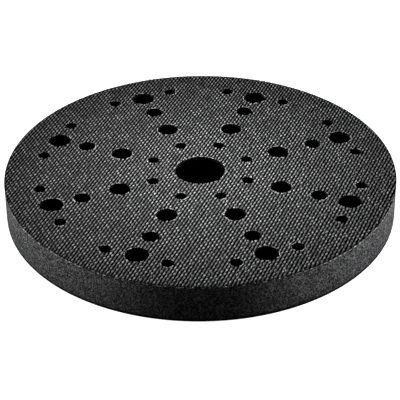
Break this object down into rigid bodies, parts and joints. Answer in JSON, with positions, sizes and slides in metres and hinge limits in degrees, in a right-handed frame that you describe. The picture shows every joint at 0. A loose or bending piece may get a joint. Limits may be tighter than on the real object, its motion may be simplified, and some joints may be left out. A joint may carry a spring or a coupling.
{
  "type": "sander interface pad",
  "caption": "Round soft foam interface pad for a random orbital sander, with a hook face, a loop face and through holes for dust extraction.",
  "frame": {"origin": "centre of the loop face, the face that the pad lies on", "axes": "+Z through the pad from the loop face to the hook face; +X and +Y lie in the loop face, and the first spoke of dust holes is 22.5 degrees round from +X towards +Y"},
  "size_m": [0.15, 0.15, 0.0154],
  "materials": {
    "loop_pile": "matte",
    "loop_fabric": "matte",
    "bond_film": "satin",
    "foam": "matte",
    "hook_fabric": "matte",
    "hook_nylon": "satin"
  },
  "bodies": {
    "backing": {"loop_pile": "loop_pile", "loop_fabric": "loop_fabric", "lower_bond_film": "bond_film", "foam_core": "foam"},
    "hook_face": {"upper_bond_film": "bond_film", "hook_fabric": "hook_fabric", "hook_pile": "hook_nylon"}
  },
  "joints": [
    {"name": "foam_compression", "type": "slide", "parent": "backing", "child": "hook_face", "axis": [0, 0, -1], "range_m": [0, 0.006], "stiffness_N_per_m": 12000, "deforming": ["foam_core"]}
  ]
}
